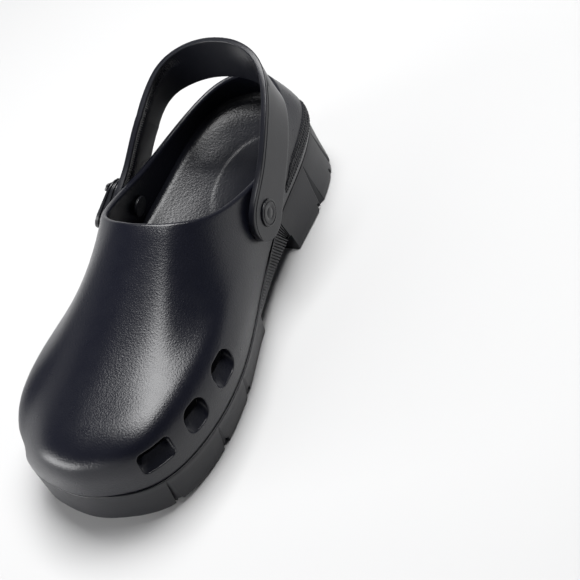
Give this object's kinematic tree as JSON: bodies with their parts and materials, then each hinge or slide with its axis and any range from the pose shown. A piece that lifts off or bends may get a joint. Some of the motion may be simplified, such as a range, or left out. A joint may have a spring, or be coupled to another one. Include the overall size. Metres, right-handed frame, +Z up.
{
  "type": "chef clog",
  "caption": "Closed-toe moulded work clog with side vents, a raised heel strap on two rivets, a footbed and a lugged heeled sole.",
  "frame": {"origin": "centre of the bounding box in plan, on the floor plane", "axes": "+Z up, toe towards -Y, heel towards +Y, inner (medial) side of the right foot towards +X"},
  "size_m": [0.1244, 0.29, 0.1111],
  "materials": {
    "upper_rubber": "satin moulded foam rubber with a fine grain",
    "sole_rubber": "semi-matte moulded rubber",
    "footbed": "satin with a fine leather-like grain",
    "strap_rubber": "satin moulded rubber",
    "trim": "satin moulded plastic"
  },
  "bodies": {
    "root": {"upper": "upper_rubber", "outsole": "sole_rubber", "insole": "footbed", "heel_strap": "strap_rubber", "medial_rivet": "trim", "lateral_button": "trim", "buckle_plate": "trim", "buckle_bar": "trim"}
  },
  "joints": []
}
